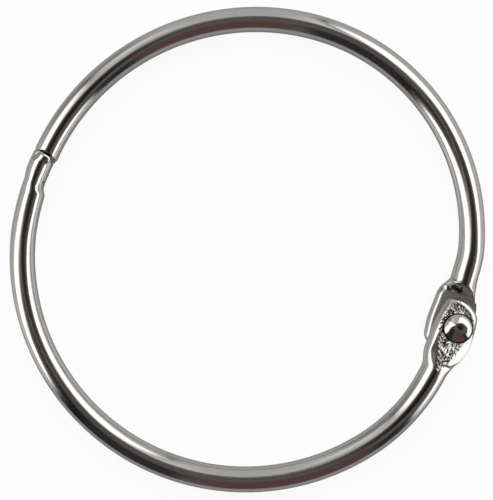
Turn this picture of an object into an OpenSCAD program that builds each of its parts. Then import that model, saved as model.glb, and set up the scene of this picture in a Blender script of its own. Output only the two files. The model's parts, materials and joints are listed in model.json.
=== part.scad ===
// Hinged loose-leaf binder ring: two half rings of round wire, a rivet hinge and a snap latch.
// The ring lies flat. The origin is on the surface that it lies on, at the ring's centre:
// +X points to the hinge rivet, +Z runs along the rivet to its domed head.
// Both half rings are drawn the same way up, running from the latch at -X over +Y to the hinge,
// and the socket half is then turned over about the X axis.

/* [Ring] */
// Inside diameter of the closed ring, from the latch straight across
ring_inner_d = 50.8; // [46:0.1:64]
// Diameter of the round wire
wire_d = 3.08; // [2.9:0.02:3.3]

/* [Bend of the tongue half] */
// How far the centre of its main bend sits towards the hinge
tongue_bend_x = 0.74; // [0:0.02:1.2]
// How far that centre sits out from the hinge line
tongue_bend_y = 0.49; // [0:0.01:1.2]
// How much smaller the bend radius is on the hinge side
tongue_bend_less = 1.8; // [0.4:0.1:3]
// Angle from the hinge at which that tighter bend begins
tongue_bend_from = 95; // [60:1:120]
// How far the wire steps in beside the lug
tongue_neck_in = 0.32; // [0.1:0.01:0.4]

/* [Bend of the socket half] */
// How far the centre of its main bend sits towards the hinge
socket_bend_x = 0.3; // [0:0.02:1.2]
// How far that centre sits out from the hinge line
socket_bend_y = 0.6; // [0:0.01:1.2]
// How much smaller the bend radius is on the hinge side
socket_bend_less = 5.3; // [3.5:0.1:5.8]
// Angle from the hinge at which that tighter bend begins
socket_bend_from = 35; // [32:1:60]

/* [Hinge] */
// How far the pin sits outside the middle of the wire
pin_out = 0.42; // [0:0.02:0.8]
// Width of the lug struck on the tongue half
lug_w = 5.8; // [5.2:0.02:6]
// How far the lug's middle sits inside the pin
lug_set = 1.04; // [0.6:0.02:1.2]
// Width of the leaf struck on the socket half
leaf_w = 5.08; // [4.6:0.02:5.4]
// How far the leaf's middle sits inside the pin
leaf_set = 0.44; // [0.2:0.02:0.7]
// Width of the wire where it starts to spread into a lug
neck_w = 3.22; // [3.1:0.02:3.5]
// Distance from the pin line at which the wire starts to swell to that width
swell_from = 12; // [9:0.5:13]
// Distance at which the inner edges of both halves start to spread
spread_from = 5.8; // [5.4:0.1:6.6]
// Distance at which the inner edges have spread fully
spread_to = 3.2; // [2.2:0.1:3.6]
// Distance at which the lug's outer edge starts to spread
lug_outer_from = 6.2; // [5.6:0.1:7]
// Distance at which the lug's outer edge has spread fully
lug_outer_to = -0.4; // [-1:0.1:1.4]
// Distance at which the leaf's outer edge starts to spread
leaf_outer_from = 5.9; // [5.4:0.1:7]
// Distance at which the leaf's outer edge has spread fully
leaf_outer_to = 1.4; // [1:0.1:2.4]
// Half length of the ellipse that narrows a lug from there to its tip
lug_round = 7; // [6:0.1:10]
// Radius to which a lug's tip is trimmed
tip_r = 3.3; // [3:0.05:3.5]
// How far the centre of that trim sits inside the pin
tip_set = 0.9; // [0.7:0.02:1.1]
// Distance from the pin line to the foot of the shoulder
shoulder_y = 4; // [3.8:0.05:4.3]
// Length of the ramp from that foot up to the full wire
ramp_run = 0.95; // [0.6:0.05:1.3]
// Turn of the shoulder, seen from above
shoulder_skew = 3; // [0:0.5:6]
// Clearance between the lug and the leaf that turns on it
lap_gap = 0.04; // [0.02:0.01:0.1]
// Depth to which the lugs' outer faces are hammered at the pin
face_depth = 0.26; // [0.12:0.02:0.3]
// Distance from the pin line at which the hammered face runs out
face_run_out = 6.2; // [5:0.1:6.8]
// Slope of the hammered face down towards the outside of the ring
face_tilt = 6; // [3:0.5:7]
// How far in the sides of a struck end are rounded
flank = 0.78; // [0.5:0.02:1]

/* [Rivet] */
// Diameter of the rivet's shank
shank_d = 1.9; // [1.6:0.05:2.2]
// Running clearance round the shank in the leaf
shank_clear = 0.05; // [0.02:0.01:0.1]
// Diameter of the domed head
head_d = 3.3; // [3:0.05:3.6]
// Height of the domed head
head_h = 1.08; // [0.9:0.02:1.2]
// Height of the straight edge of that head, below its dome
head_rim = 0.38; // [0.2:0.02:0.6]
// Diameter of the tail that is headed over behind
tail_d = 2.7; // [2.5:0.05:3]
// Height of that tail
tail_h = 0.6; // [0.45:0.05:0.8]
// Radius of the tail's rim
tail_rim = 0.25; // [0.1:0.01:0.35]
// Height of the rivet's seats from the middle of the wire
seat_h = 1.12; // [1.1:0.01:1.2]
// Clearance round a head in its spot face
seat_clear = 0.08; // [0.04:0.01:0.15]

/* [Latch] */
// Where the two free ends meet, measured from the hinge line
latch_y = 1.78; // [1:0.02:2.4]
// Opening between the free ends when the ring is shut
latch_gap = 0.12; // [0.08:0.01:0.3]
// Length of the tongue beyond the end of its wire
tongue_len = 3.6; // [3:0.1:4]
// Thickness of the tongue
tongue_t = 1.2; // [1:0.05:1.3]
// Distance from the middle of the wire out to the tongue's outer edge
tongue_out = 0.5; // [0.3:0.02:0.6]
// Distance from the middle of the wire in to the tongue's inner edge
tongue_in = 1.15; // [1:0.05:1.3]
// Length of the web in the corner between the tongue and its wire
web_len = 1; // [0.6:0.05:1.3]
// Width of the socket over its mouth, seen from above
socket_w = 2.86; // [2.8:0.02:2.94]
// Width of the socket's waist, round the tip of the tongue
waist_w = 2.6; // [2.5:0.02:2.8]
// Height of the socket
socket_h = 3.34; // [3.2:0.02:3.5]
// How far the socket sits outside the middle of the wire
socket_out = 0.16; // [0.1:0.01:0.22]
// How far its waist does
waist_out = 0.08; // [0:0.01:0.16]
// Distance from the mouth to where the waist begins
waist_from = 2.2; // [1.8:0.1:2.4]
// Distance from the mouth to where the waist ends
waist_to = 3.8; // [3.5:0.1:4]
// Length over which the wire is pressed down to the waist
socket_blend = 1.4; // [1:0.1:2]
// How far the wire steps in beside the socket
knee_in = 0.12; // [0:0.01:0.16]
// Length over which it returns to its bend
knee_run = 6.4; // [4:0.2:8]
// Length over which the mouth is rounded above, below and outside
lip_run = 0.5; // [0.3:0.05:0.7]
// Depth of that rounding above and below
lip_h = 0.45; // [0.2:0.05:0.5]
// Depth of that rounding outside
lip_side = 0.1; // [0.05:0.01:0.2]
// Length of the rounded corner on the inside of the mouth
corner_run = 1.1; // [0.8:0.05:1.3]
// Depth of that corner
corner_in = 1.2; // [0.8:0.05:1.3]
// Play between the tongue and the slot, above and below
slot_play = 0.06; // [0.03:0.01:0.1]
// Room between the tongue's outer edge and the floor of the slot
snap_room = 0.16; // [0.14:0.01:0.2]
// Room between the tip of the tongue and the end of the slot
end_room = 0.2; // [0.15:0.01:0.3]
// Radius of the snap nib on the floor of the slot
nib_r = 0.4; // [0.3:0.02:0.5]
// How far the nib stands up from that floor
nib_h = 0.12; // [0.06:0.01:0.13]
// Distance from the tip of the tongue back to the nib
nib_back = 1.1; // [0.9:0.05:1.5]

/* [Hidden] */

wire_r = wire_d / 2;
ring_r = (ring_inner_d + wire_d) / 2;    // from the ring's centre to the middle of the wire
pin_x = ring_r + pin_out;
latch_r = pin_x + ring_r;                // from the pin to the middle of the latch
mid_z = max(seat_h + tail_h, socket_h / 2);    // the tail lies down, or else the socket
tongue_bend = [tongue_bend_x, tongue_bend_y, tongue_bend_less, tongue_bend_from];
socket_bend = [socket_bend_x, socket_bend_y, socket_bend_less, socket_bend_from];
lug = [lug_w, lug_set, tongue_neck_in, lug_outer_from, lug_outer_to];
leaf = [leaf_w, leaf_set, 0, leaf_outer_from, leaf_outer_to];

SEAM = 0.02;                             // where two lengths of a half ring join, one is thinner
OVERLAP = 0.4;                           // by this and runs this far into the other
WIDEST_Y = 1.6;                          // where the ellipse of a lug's plan has its full width
SIDES = 32;                              // points round a section
FLANK_SHARE = 0.55;                      // least share of them on its rounded sides
EPS = 0.01;
BIG = 12;                                // size of the cutters
FINE = 96;                               // facets of a round surface
FINE_SWING = 240;                        // and of a large arc about the pin

function smooth(t) = let (c = min(1, max(0, t))) c * c * (3 - 2 * c);
function lerp(a, b, t) = a + (b - a) * t;
// 0 before y has come down to `from`, 1 once it is at `to`
function along(y, from, to) = smooth((from - y) / (from - to));

// A half ring follows a main bend from the latch and a tighter one, tangent to it, to the hinge.
function main_c(b) = [b[0], b[1]];
function main_r(b) = norm([ring_r + b[0], b[1]]);
function end_c(b) = main_c(b) + b[2] * [cos(b[3]), sin(b[3])];
function end_r(b) = main_r(b) - b[2];
function main_x(b, y) = b[0] - sqrt(pow(main_r(b), 2) - pow(y - b[1], 2));
function end_x(b, y) = end_c(b)[0] + sqrt(pow(end_r(b), 2) - pow(y - end_c(b)[1], 2));
function main_angle(b, y) = 180 - asin((y - b[1]) / main_r(b));
function end_angle(b, y) = asin((y - end_c(b)[1]) / end_r(b));

// One closed section: half width hw along n, from z_low to z_top with its widest line at z_wide.
// Each quarter of it is rounded over the width `side`, and flat from there to the middle.
function section(p, n, hw, z_low, z_wide, z_top, side) = [
    for (k = [0:SIDES - 1])
        let (
            quarter = floor(4 * k / SIDES),
            part = 4 * k / SIDES - quarter,
            t = quarter % 2 == 1 ? 1 - part : part,
            share = lerp(FLANK_SHARE, 1, side / hw),
            turn = 90 * min(1, t / share),
            flat = share < 1 ? max(0, t - share) / (1 - share) : 0,
            along_n = quarter % 3 == 0 ? 1 : -1,
            across = along_n * (hw - side * (1 - cos(turn)) - flat * (hw - side)),
            z = lerp(z_wide, quarter < 2 ? z_top : z_low, sin(turn))
        )
        [p[0] + n[0] * across, p[1] + n[1] * across, z]
];

// Skins a list of sections into one closed solid.
module skin(rings) {
    last = len(rings) - 1;
    sides = [
        for (i = [0:last - 1], k = [0:SIDES - 1])
            let (
                a = i * SIDES + k,
                b = i * SIDES + (k + 1) % SIDES
            )
            each [[a, a + SIDES, b], [b, a + SIDES, b + SIDES]]
    ];
    first_cap = [for (k = [0:SIDES - 1]) k];
    last_cap = [for (k = [SIDES - 1:-1:0]) last * SIDES + k];
    polyhedron(points = [for (r = rings) each r], faces = concat([first_cap], sides, [last_cap]));
}

// One bend of round wire about centre c, between two angles.
module bend(c, r, from, to, section_r) {
    translate([c[0], c[1], 0])
        rotate([0, 0, from])
            rotate_extrude(angle = to - from, $fn = FINE)
                translate([r, 0])
                    circle(r = section_r);
}

// The round wire of a half ring, down to latch_end at the latch and to swell_from at the hinge.
module half_wire(b, latch_end) {
    inside = asin(OVERLAP / main_r(b));
    bend(main_c(b), main_r(b), b[3] - inside, main_angle(b, latch_end), wire_r);
    bend(end_c(b), end_r(b), end_angle(b, swell_from), b[3], wire_r + SEAM);
}

// A forged end is given as [width, inward set, step in of the wire, outer spread from, and to].
// Its inner edge (side -1) or outer edge (side 1), by the distance y from the pin line.
function lug_edge(b, end, y, side) =
    let (
        neck = end_x(b, y) - end[2] * along(y, spread_from + 4, spread_from - 0.5),
        swollen = lerp(wire_r, neck_w / 2, along(y, swell_from, spread_from)),
        narrowed = end[0] / 2 * sqrt(1 - pow(min(0, y - WIDEST_Y) / lug_round, 2)),
        spread = side < 0 ? along(y, spread_from, spread_to) : along(y, end[3], end[4])
    )
    lerp(neck + side * swollen, pin_x - end[1] + side * narrowed, spread);
function lug_x(b, end, y) = (lug_edge(b, end, y, 1) + lug_edge(b, end, y, -1)) / 2;
function lug_hw(b, end, y) = (lug_edge(b, end, y, 1) - lug_edge(b, end, y, -1)) / 2;

function lug_section(b, end, y) =
    let (
        step = 0.05,
        dx = lug_x(b, end, y - step) - lug_x(b, end, y + step),
        n = [2 * step, dx] / norm([dx, 2 * step]),
        flat = along(y, shoulder_y + ramp_run, shoulder_y - ramp_run),
        hw = lug_hw(b, end, y)
    )
    section([lug_x(b, end, y), y], n, hw, -wire_r, -flat * wire_r / 2, lerp(wire_r, lap_gap, flat),
        min(hw, lerp(hw, flank, along(y, spread_from, spread_to))));

// Cuts what lies above the lap face and the ramp that climbs from it to the full wire.
module lap_cut() {
    top = 2 * wire_r;
    translate([pin_x, 0, -lap_gap / 2])
        rotate([0, 0, shoulder_skew])
            rotate([90, 0, 90])
                linear_extrude(BIG, center = true)
                    polygon([
                        [-BIG, 0], [shoulder_y, 0],
                        [shoulder_y + ramp_run * top / wire_r, top], [-BIG, top]
                    ]);
}

// Cuts what lies below the hammered face.
module face_cut() {
    translate([pin_x, 0, face_depth - wire_r])
        rotate([-atan(face_depth / face_run_out), -face_tilt, 0])
            translate([-BIG / 2, -BIG / 2, -BIG])
                cube([BIG, 2 * BIG, BIG]);
}

// Cuts the tip to an arc.
module tip_cut() {
    difference() {
        translate([pin_x - BIG / 2, -BIG, -BIG / 2])
            cube([BIG, BIG, BIG]);
        translate([pin_x - tip_set, 0, -BIG])
            cylinder(r = tip_r, h = 2 * BIG, $fn = FINE);
    }
}

// The flattened end of a half ring: its flat side is up, its hammered face is down.
module forged_end(b, end) {
    ys = concat(
        [swell_from + OVERLAP],
        [for (i = [0:7]) lerp(swell_from, spread_from + 0.4, i / 7)],
        [for (i = [1:16]) lerp(spread_from + 0.4, spread_to, i / 16)],
        [for (i = [1:8]) lerp(spread_to, -tip_r - OVERLAP, i / 8)]
    );
    difference() {
        skin([for (y = ys) lug_section(b, end, y)]);
        lap_cut();
        face_cut();
        tip_cut();
    }
}

// A hole for the shank, and the spot face that the rivet's head or tail seats on.
module rivet_hole(hole_d, seat_d) {
    translate([pin_x, 0, -BIG / 2]) {
        cylinder(d = hole_d, h = BIG, $fn = FINE);
        cylinder(d = seat_d + 2 * seat_clear, h = BIG / 2 - seat_h, $fn = FINE);
    }
}

// A solid cylinder about the pin, for what has to swing past.
module swing(r) {
    translate([pin_x, 0, -BIG / 2])
        cylinder(r = r, h = BIG, $fn = FINE_SWING);
}

tongue_top = latch_y + latch_gap / 2;    // the square end of the tongue half's wire
mouth_y = latch_y - latch_gap / 2;       // the mouth of the socket
tongue_tip = tongue_top - tongue_len;
tongue_edge = latch_r + tongue_out;      // radius of the tongue's outer edge about the pin
slot_floor = tongue_edge + snap_room;
nib_at = [pin_x - sqrt(pow(slot_floor, 2) - pow(tongue_tip + nib_back, 2)) - nib_r + nib_h,
    tongue_tip + nib_back];

// The nib on the slot's floor, or the notch that it leaves in the tongue.
module nib(r) {
    translate([nib_at[0], nib_at[1], -BIG / 2])
        cylinder(r = r, h = BIG, $fn = FINE);
}

// The latch tongue: its outer edge is an arc about the pin, and a notch there takes the nib.
module tongue() {
    nose = tongue_t / 3;                 // chamfer at the tip
    outer = -ring_r - tongue_out;
    inner = -ring_r + tongue_in;
    web = -ring_r + sqrt(pow(wire_r, 2) - pow(tongue_t / 2, 2)) - 2 * SEAM;
    difference() {
        intersection() {
            linear_extrude(tongue_t, center = true)
                polygon([
                    [outer - nose, tongue_top + OVERLAP], [outer - nose, tongue_tip + 2 * nose],
                    [outer + nose, tongue_tip], [inner - nose / 2, tongue_tip],
                    [inner, tongue_tip + nose / 2], [inner, tongue_top - web_len],
                    [web, tongue_top], [web, tongue_top + OVERLAP]
                ]);
            swing(tongue_edge);
        }
        nib(nib_r + snap_room / 2);
    }
}

// The pressed end of the socket half, by the distance d from its mouth.
knee_from = waist_to + socket_blend + knee_run;
module socket_end() {
    ds = concat(
        [knee_from + OVERLAP],
        [for (i = [0:8]) lerp(knee_from, waist_to + socket_blend + 0.4, i / 8)],
        [for (i = [0:24]) lerp(waist_to + socket_blend, corner_run, i / 24)],
        [for (a = [10:10:90]) corner_run * (1 - sin(a))]
    );
    skin([for (d = ds) socket_section(d)]);
}

// How far in a side lies at a distance d from the mouth that its end is rounded over.
function rounded_off(d, run, depth) = depth * (1 - sqrt(1 - pow(max(0, 1 - d / run), 2)));

function socket_section(d) =
    let (
        y = d - mouth_y,
        p = [main_x(socket_bend, y), y],
        pressed = along(d, waist_to + socket_blend, waist_to),
        full = along(d, waist_to, waist_from),
        knee = along(d, knee_from, waist_to + socket_blend) * (1 - pressed),
        radial = (main_c(socket_bend) - p) / main_r(socket_bend),
        n = lerp(radial, [1, 0], smooth(2 * pressed)),
        hw = lerp(wire_r - SEAM, lerp(waist_w, socket_w, full) / 2, pressed),
        out = pressed * lerp(waist_out, socket_out, full) - knee * knee_in,
        outer = hw + out - rounded_off(d, lip_run, lip_side),
        inner = hw - out - rounded_off(d, corner_run, corner_in),
        half = (outer + inner) / 2,
        hz = lerp(wire_r - SEAM, socket_h / 2, pressed) - rounded_off(d, lip_run, lip_h)
    )
    section(p + n * (inner - outer) / 2, n / norm(n), half, -hz, 0, hz, half);

// The slot in the socket, open to the inside of the ring and at the mouth.
module slot() {
    slot_t = tongue_t + 2 * slot_play;
    difference() {
        intersection() {
            translate([-ring_r - wire_d, tongue_tip - end_room, -slot_t / 2])
                cube([3 * wire_d, BIG / 2, slot_t]);
            swing(slot_floor);
        }
        nib(nib_r);
    }
}

module tongue_half_ring() {
    color("silver")
        translate([0, 0, mid_z]) {
            difference() {
                union() {
                    half_wire(tongue_bend, tongue_top);
                    tongue();
                    forged_end(tongue_bend, lug);
                }
                rivet_hole(shank_d, tail_d);
            }
        }
}

module socket_half_ring() {
    color("gainsboro")
        translate([0, 0, mid_z])
            difference() {
                rotate([180, 0, 0])
                    difference() {
                        union() {
                            half_wire(socket_bend, knee_from - mouth_y);
                            socket_end();
                            forged_end(socket_bend, leaf);
                        }
                        rivet_hole(shank_d + 2 * shank_clear, head_d);
                    }
                slot();
            }
}

// The rivet: a domed head above the leaf, a shank, and a tail with a rounded rim below the lug.
module hinge_rivet() {
    dome_h = head_h - head_rim;
    cap_r = (pow(head_d / 2, 2) + pow(dome_h, 2)) / (2 * dome_h);
    color("lightgray")
        translate([pin_x, 0, mid_z]) {
            rotate_extrude($fn = FINE)
                intersection() {
                    translate([0, seat_h + head_h - cap_r])
                        circle(r = cap_r, $fn = FINE);
                    translate([0, seat_h])
                        square([head_d / 2, head_h + EPS]);
                }
            translate([0, 0, -seat_h - tail_h / 2])
                cylinder(d = shank_d, h = 2 * seat_h + (tail_h + head_h) / 2, $fn = FINE);
            rotate_extrude($fn = FINE)
                difference() {
                    translate([0, -seat_h - tail_h])
                        square([tail_d / 2, tail_h]);
                    translate([tail_d / 2 - tail_rim, -seat_h - tail_h - EPS])
                        difference() {
                            square(tail_rim + EPS);
                            translate([0, tail_rim + EPS])
                                circle(r = tail_rim, $fn = FINE);
                        }
                }
        }
}

tongue_half_ring();
socket_half_ring();
hinge_rivet();
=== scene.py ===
import json
import math

import bmesh
import bpy
import numpy as np
from mathutils import Matrix, Vector


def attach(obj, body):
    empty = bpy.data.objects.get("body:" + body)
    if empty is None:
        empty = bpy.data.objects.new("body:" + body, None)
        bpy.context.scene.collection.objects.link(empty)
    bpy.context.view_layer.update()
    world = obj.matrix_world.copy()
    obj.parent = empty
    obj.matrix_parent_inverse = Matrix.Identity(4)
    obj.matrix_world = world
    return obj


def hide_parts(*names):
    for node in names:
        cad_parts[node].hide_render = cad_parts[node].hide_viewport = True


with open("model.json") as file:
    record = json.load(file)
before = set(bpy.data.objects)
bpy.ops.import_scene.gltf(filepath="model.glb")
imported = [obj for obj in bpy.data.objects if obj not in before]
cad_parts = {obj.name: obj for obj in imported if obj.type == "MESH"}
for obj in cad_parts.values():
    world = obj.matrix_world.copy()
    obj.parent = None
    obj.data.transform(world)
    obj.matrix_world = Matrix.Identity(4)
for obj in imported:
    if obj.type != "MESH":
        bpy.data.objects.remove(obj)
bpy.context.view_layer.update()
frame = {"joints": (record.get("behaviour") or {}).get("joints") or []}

# A hinged binder ring of nickel-plated steel wire: two half rings, a domed rivet and a snap latch.
# Lengths are in millimetres until a mesh is made. Each half ring is drawn upright, about the
# middle of its wire, from the tip of its lug over +Y to the latch at -X; the socket half is then
# turned over about the X axis.

MM = 0.001
TAU = 2 * math.pi

# Ring
RING_R = 26.94          # from the ring's centre to the middle of the wire
WIRE_R = 1.54
PIN_X, _, MID_Z = (1000 * v for v in frame["joints"][0]["pos_m"])

# Bends: centre of the main bend, how much tighter the hinge side is, and the angle it begins at
TONGUE_BEND = (0.74, 0.49, 1.8, 95)
SOCKET_BEND = (0.3, 0.6, 5.3, 35)

# Forged ends: width, inward set, step in of the wire, and where the outer edge spreads from and to
LUG = (5.8, 1.04, 0.32, 6.2, -0.4)
LEAF = (5.08, 0.44, 0, 5.9, 1.4)
NECK_W = 3.22
SWELL_FROM = 12
SPREAD_FROM, SPREAD_TO = 5.8, 3.2
WIDEST_Y, LUG_ROUND = 1.6, 7
TIP_R, TIP_SET = 3.3, 0.9
SHOULDER_Y, RAMP_RUN, SHOULDER_SKEW = 4, 0.95, 3
LAP_GAP = 0.04

# Sides of the forged ends, outer and then inner: how far in they are rounded below the widest
# line; and for each half, how far they are rounded above it, how far that line lies below the
# middle of the wire, and where along the wire it comes down
FLANK_BELOW = (0.7, 1.3)
LUG_SIDES = ((0.78, 1.05), (0.05, 0.85), (6.6, 3.2))
LEAF_SIDES = ((0.78, 0.78), (0.3, 0.25), (5.8, 1))

# The patch on a forged end that the hammer has crushed: its outline from the pin, along the ring's
# radius and towards the wire
PATCH = ((-1.75, -2.95), (-2.0, -2.2), (-2.1, -0.7), (-2.05, 0.2), (-1.8, 1.1), (-1.5, 2.0),
         (-1.15, 3.1), (-0.85, 4.1), (-0.6, 5.0), (-0.4, 5.7), (-0.1, 5.3), (0.3, 4.4), (0.8, 3.1),
         (1.1, 1.9), (1.6, 0.4), (1.55, -1.0), (1.4, -1.7), (1.1, -2.3), (0.3, -2.8), (-0.6, -3.0))
PATCH_FLOOR, PATCH_TILT, PATCH_WALL = -1.27, 0.01, 0.34
PATCH_FADE = 0.2        # width over which the patch's finish gives way to the plain one
OUTSIDE = 0.3           # share of the patch's wall and of that fade that lies outside the outline
RAGGED, SWELL = 0.12, 0.035     # how far the outline strays, and how high the floor swells

# Strokes on the patch: the circle that their widths are measured on, their width and length, how
# much they slant to the side and lengthwise, how far from the pin they go, and from how far round
# the circle they slant more, and by what share
STROKE_R, STROKE_W, STROKE_L = 2.3, 0.16, 0.5
STROKE_SLANT, STROKE_REACH = (0.36, 0.13), 6.5
BEYOND_FROM, BEYOND_MORE = 1.7, 0.8

# Where the strokes are calm: round a spot; and as near as this to the patch's inner wall, a line of
# this slope through another spot, from a place along the wire on, over a run; and how calm
CALM_SPOT, CALM_R = (-1.9, 0.9), 0.6
WALL_SPOT, WALL_SLANT, WALL_NEAR = (-1.5, 2), 0.31, 0.45
CALM_FROM, CALM_RUN, CALMED = 1.5, 0.5, 0.85

# Planes that the die has left on the underside of a forged end: a spot from the pin and along the
# wire, and its height; the azimuth that the plane faces; its slope; between which places along the
# wire it comes up into the metal, and by how much; and between which it goes down again, by 1.
# The first two are on the ring's outer side and the last on its inner one.
PLANES = (
    ((1.3, 1.8, -1.22), 14, 0.72, (9, 5, 1), (-8, -9)),
    ((0.18, 5.5, -1.16), 3, 0.64, (10, 6, 1), (4.75, 4.35)),
    ((-1.3, 2.6, -1.52), 163, 0.1, (10.6, 3.2, 0.52), (-8, -9)),
)

# Rivet
SHANK_R, SHANK_CLEAR = 0.95, 0.05
HEAD_R, HEAD_H, HEAD_RIM = 1.65, 1.08, 0.38
HEAD_LEAN = (306, 5)    # azimuth towards which the head leans, and by how many degrees
TAIL_R, TAIL_H, TAIL_RIM = 1.35, 0.6, 0.25
SEAT_H, SEAT_CLEAR = 1.12, 0.13

# Latch
LATCH_Y, LATCH_GAP = 1.78, 0.12
TONGUE_LEN, TONGUE_T, TONGUE_OUT, TONGUE_IN, WEB_LEN = 3.6, 1.2, 0.5, 1.15, 0.75
SOCKET_W, WAIST_W, SOCKET_H, SOCKET_OUT, WAIST_OUT = 2.86, 2.6, 3.34, 0.16, 0.08
WAIST_FROM, WAIST_TO, SOCKET_BLEND, KNEE_IN, KNEE_RUN = 2.2, 3.8, 1.4, 0.12, 6.4
LIP_RUN, LIP_H, LIP_SIDE, CORNER_RUN, CORNER_IN = 0.5, 0.45, 0.1, 1.1, 1.2
SLOT_PLAY, SNAP_ROOM, END_ROOM = 0.06, 0.16, 0.02
NIB_R, NIB_H, NIB_BACK = 0.4, 0.12, 1.1
HIGH_FROM = 9           # how far from the mouth the socket starts to rise to its full height
SPUR = 0.34             # how far the inner corner of the tongue half's wire hangs down
SPUR_FROM, SPUR_RUN = 0.55, 0.9     # where across the wire that starts, and over what width
HEEL_FROM, HEEL_RUN = -0.1, 1.1     # the same for the outer corner, towards the outer side
HEEL = LATCH_GAP - 0.02             # which hangs until it all but touches the socket
HANG_RUN = 1.5          # over what length of the wire both corners hang
SLOT_EDGE = 0.08        # rounding of the slot's long edges

# Finish of the visible pieces
AROUND = 224            # points round a half ring's section
LIP = 17                # of which this many, on each side of the slot's middle, line the slot
EDGE = 0.12             # softening of the edges between struck and rolled surfaces
END_ROUND = 0.12        # rounding of the tongue half's square end
TIP_ROUND = 0.42        # and of the edge of a forged tip
TIP_FROM, TIP_RUN = -0.2, 1.4       # where along the wire that starts, and over what length
LAP_FADE = 0.06         # range of depths over which a cut's matt finish comes in
LAP_SHARE = 0.35        # how much of that finish the flat lap face has, next to its ramp's 1
# The crevice round the rivet's head is painted dark, as its shade, between these distances from the
# pin
CREVICE_SHADE = ((1.6, 1.64), (1.82, 1.77))   # distances from the pin between which it comes and goes

TONGUE_TOP = LATCH_Y + LATCH_GAP / 2
MOUTH_Y = LATCH_Y - LATCH_GAP / 2
TONGUE_TIP = TONGUE_TOP - TONGUE_LEN
TONGUE_EDGE = PIN_X + RING_R + TONGUE_OUT
SLOT_FLOOR = TONGUE_EDGE + SNAP_ROOM
NIB_Y = TONGUE_TIP + NIB_BACK
NIB_X = PIN_X - math.sqrt(SLOT_FLOOR ** 2 - NIB_Y ** 2) - NIB_R + NIB_H
SLOT_H = TONGUE_T / 2 + SLOT_PLAY

# View: the turn of its right-hand side from the X axis; what it looks at, from how far, and how far
# it leans to the right and down; its focal length and its frame's width in pixels, and the sensor's
TURN = math.radians(21.25)
LOOK_AT, VIEW_FROM = (0.394, -0.353, MID_Z), 200
LEAN_RIGHT, LEAN_DOWN = math.sin(0.08), math.sin(0.10)
FOCAL_PX, FRAME_PX, SENSOR = 1657.44, 493, 36

TENT_R = 0.9            # radius of the tent and distance of the lamps, in metres
NICKEL = "#A5A3A0"


def smooth(t):
    """A step that eases from 0 to 1 as t goes from 0 to 1: 3 t squared less 2 t cubed."""
    t = np.clip(t, 0, 1)
    return t * t * (3 - 2 * t)


def lerp(a, b, t):
    return a + (b - a) * t


def along(y, start, end):
    """0 before y has come down to start, 1 once it is at end."""
    return smooth((start - y) / (start - end))


def soft_min(a, b, k):
    """The lesser of a and b, rounded off by a parabola where they are within k of each other."""
    h = np.clip(0.5 + 0.5 * (b - a) / k, 0, 1)
    return lerp(b, a, h) - k * h * (1 - h)


def soft_max(a, b, k):
    return -soft_min(-a, -b, k)


# ---------------------------------------------------------------------------------------------
# Paths of the half rings
# ---------------------------------------------------------------------------------------------

def main_circle(bend):
    """Centre and radius of the main bend, which passes through the latch on the X axis."""
    x, y = bend[:2]
    return x, y, math.hypot(RING_R + x, y)


def hinge_circle(bend):
    """Centre and radius of the tighter bend, tangent to the main one at its start angle."""
    x, y, r = main_circle(bend)
    less, start = bend[2], math.radians(bend[3])
    return x + less * math.cos(start), y + less * math.sin(start), r - less


def circle_path(circle, angles):
    """Points on a circle at these angles, in radians, and the directions out from its centre."""
    out = np.stack([np.cos(angles), np.sin(angles)], 1)
    return np.array(circle[:2]) + circle[2] * out, out


def forged_edge(bend, end, y, side):
    """X of a forged end's inner (side -1) or outer (side 1) edge at a distance y from the pin.

    The wire's edge swells a little, then eases over to the lug's edge, which lies at the lug's
    half width from its middle and narrows along an ellipse beyond its widest line."""
    x, cy, r = hinge_circle(bend)
    neck = x + np.sqrt(r ** 2 - (y - cy) ** 2)
    neck = neck - end[2] * along(y, SPREAD_FROM + 4, SPREAD_FROM - 0.5)
    swollen = lerp(WIRE_R, NECK_W / 2, along(y, SWELL_FROM, SPREAD_FROM))
    narrowed = end[0] / 2 * np.sqrt(1 - (np.minimum(0, y - WIDEST_Y) / LUG_ROUND) ** 2)
    spread = along(y, SPREAD_FROM, SPREAD_TO) if side < 0 else along(y, end[3], end[4])
    return lerp(neck + side * swollen, PIN_X - end[1] + side * narrowed, spread)


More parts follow.
